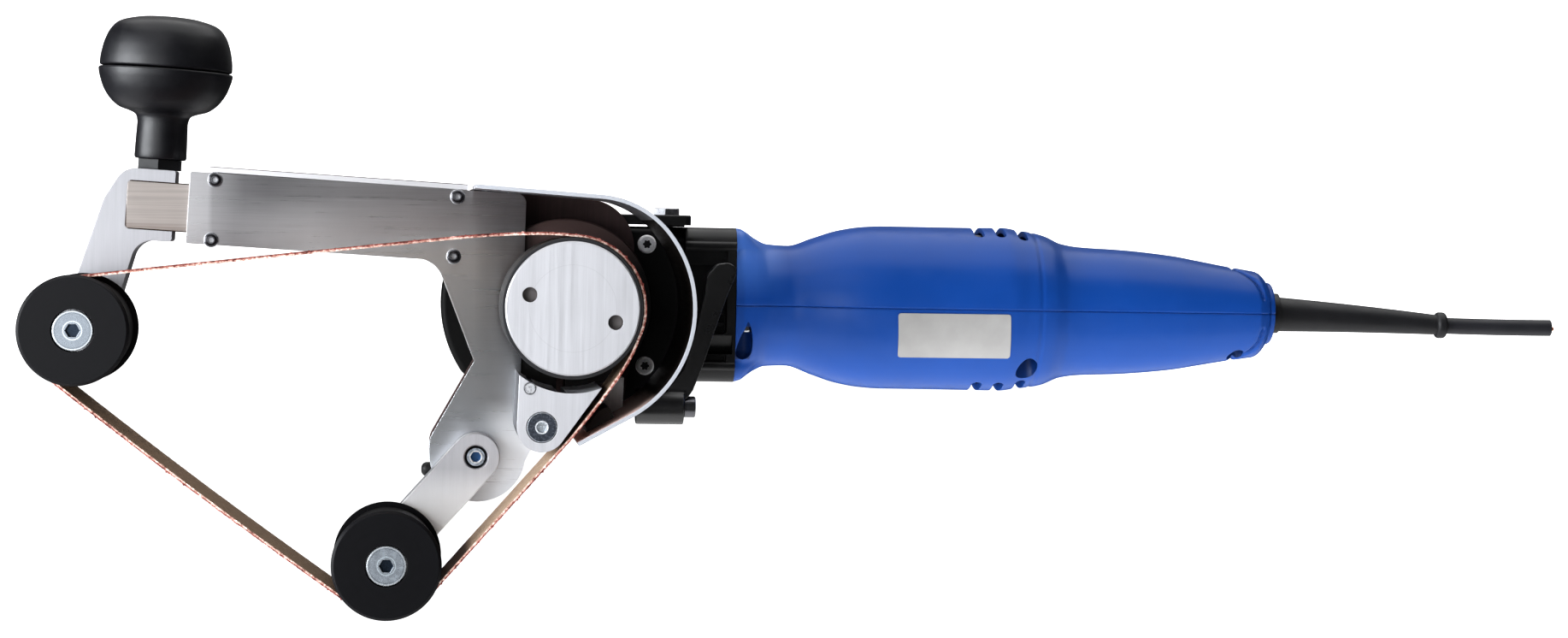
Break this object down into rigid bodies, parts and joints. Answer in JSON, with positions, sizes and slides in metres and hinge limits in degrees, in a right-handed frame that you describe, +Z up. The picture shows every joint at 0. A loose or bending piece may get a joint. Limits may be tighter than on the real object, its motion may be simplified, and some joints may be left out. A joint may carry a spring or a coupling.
{
  "type": "belt sander",
  "caption": "Hand-held tube belt sander: motor with angle head, belt running over a drum, a sprung front roller with knob and a swinging lower roller, bent guard and cord stub.",
  "frame": {"origin": "middle of the hand grip, at the waist of the motor housing, on the motor axis", "axes": "+X along the motor axis towards the cord, +Z up, -Y the side that the belt runs on"},
  "size_m": [0.6691, 0.165, 0.2421],
  "materials": {
    "housing_blue": "moulded plastic with a fine grain",
    "black_plastic": "moulded plastic",
    "black_rubber": "matt",
    "copper": "bare copper",
    "core_steel": "machined",
    "carbon": "pressed carbon",
    "bearing_steel": "ground rings with seals",
    "head_black": "black paint on an aluminium casting",
    "zinc": "zinc plated",
    "dark_steel": "black oxide",
    "plate_dark": "dark coated sheet",
    "cover_steel": "brushed along its length",
    "aluminium": "milled",
    "guard_sheet": "bent sheet",
    "roller_black": "black anodised aluminium",
    "belt_cloth": "abrasive cloth",
    "plate_grey": "blank printed film"
  },
  "bodies": {
    "tool_body": {"housing_upper_shell": "housing_blue", "housing_lower_shell": "housing_blue", "housing_screws": "zinc", "rating_plate": "plate_grey", "strain_relief": "black_rubber", "supply_cord": "black_rubber", "cord_conductors": "copper", "stator_core": "core_steel", "carbon_brushes": "carbon", "motor_bearings": "bearing_steel", "electronics_module": "black_plastic", "gear_housing": "head_black", "gear_housing_screws": "zinc", "spindle_bearings": "bearing_steel", "adapter_disc": "head_black", "adapter_screws": "zinc", "clamp_collar": "dark_steel", "lever_screw": "zinc", "top_bracket": "head_black", "top_bolt": "zinc", "back_plate": "plate_dark", "cover_plate": "cover_steel", "cover_screws": "zinc", "guide_rails": "dark_steel", "top_strip": "aluminium", "tension_spring": "dark_steel", "leg_spacer": "dark_steel", "arm_stop": "black_plastic", "pivot_screw": "dark_steel", "belt_guard": "guard_sheet", "guard_screws": "zinc", "guard_bracket": "aluminium", "platen": "aluminium", "platen_screw": "dark_steel", "platen_pin": "dark_steel", "sanding_belt": "belt_cloth"},
    "clamp_lever": {"clamp_lever": "head_black"},
    "lower_arm": {"lower_arm": "aluminium", "lower_axle_screw": "dark_steel"},
    "lower_roller": {"lower_roller": "roller_black", "lower_roller_bearings": "bearing_steel"},
    "tension_slide": {"slide_bar": "cover_steel", "front_arm": "aluminium", "knob_base": "black_plastic", "knob_cap": "black_plastic", "knob_stud": "dark_steel", "front_axle_screw": "dark_steel"},
    "front_roller": {"front_roller": "roller_black", "front_roller_bearings": "bearing_steel"},
    "drum": {"spindle": "core_steel", "bevel_gear": "core_steel", "drum_core": "aluminium", "drum_tyre": "black_rubber"},
    "armature": {"armature_shaft": "core_steel", "armature_core": "core_steel", "commutator": "copper", "cooling_fan": "black_plastic", "bevel_pinion": "core_steel"},
    "switch": {"switch_slider": "black_plastic"},
    "dial": {"speed_dial": "black_plastic"}
  },
  "joints": [
    {"name": "tension_slide", "type": "slide", "parent": "tool_body", "child": "tension_slide", "axis": [0.9988, 0, -0.0488], "range_m": [0, 0.0045], "stiffness_N_per_m": 4000, "springref_m": -0.005, "deforming": ["tension_spring", "sanding_belt"]},
    {"name": "front_roller_spin", "type": "hinge", "parent": "tension_slide", "child": "front_roller", "pos_m": [-0.2949, -0.106, -0.012], "axis": [0, 1, 0], "continuous": true},
    {"name": "lower_arm_pivot", "type": "hinge", "parent": "tool_body", "child": "lower_arm", "pos_m": [-0.1353, -0.0772, -0.0632], "axis": [0, 1, 0], "range_deg": [-8, 8], "deforming": ["sanding_belt"]},
    {"name": "lower_roller_spin", "type": "hinge", "parent": "lower_arm", "child": "lower_roller", "pos_m": [-0.17095, -0.106, -0.1037], "axis": [0, 1, 0], "continuous": true},
    {"name": "drum_spin", "type": "hinge", "parent": "tool_body", "child": "drum", "pos_m": [-0.0986, -0.106, 0], "axis": [0, 1, 0], "continuous": true},
    {"name": "armature_spin", "type": "hinge", "parent": "tool_body", "child": "armature", "pos_m": [0.03, 0, 0], "axis": [1, 0, 0], "continuous": true},
    {"name": "clamp_lever_swing", "type": "hinge", "parent": "tool_body", "child": "clamp_lever", "pos_m": [-0.0568, -0.042, -0.0434], "axis": [1, 0, 0], "range_deg": [0, 60]},
    {"name": "switch_slide", "type": "slide", "parent": "tool_body", "child": "switch", "axis": [1, 0, 0], "range_m": [0, 0.007]},
    {"name": "speed_dial_turn", "type": "hinge", "parent": "tool_body", "child": "dial", "pos_m": [0.172, 0.016, 0], "axis": [0, 0, 1], "range_deg": [-135, 135]}
  ],
  "couplings": [
    {"joint": "armature_spin", "follows": "drum_spin", "ratio": 3},
    {"joint": "front_roller_spin", "follows": "drum_spin", "ratio": 1.4096},
    {"joint": "lower_roller_spin", "follows": "drum_spin", "ratio": 1.4096}
  ]
}
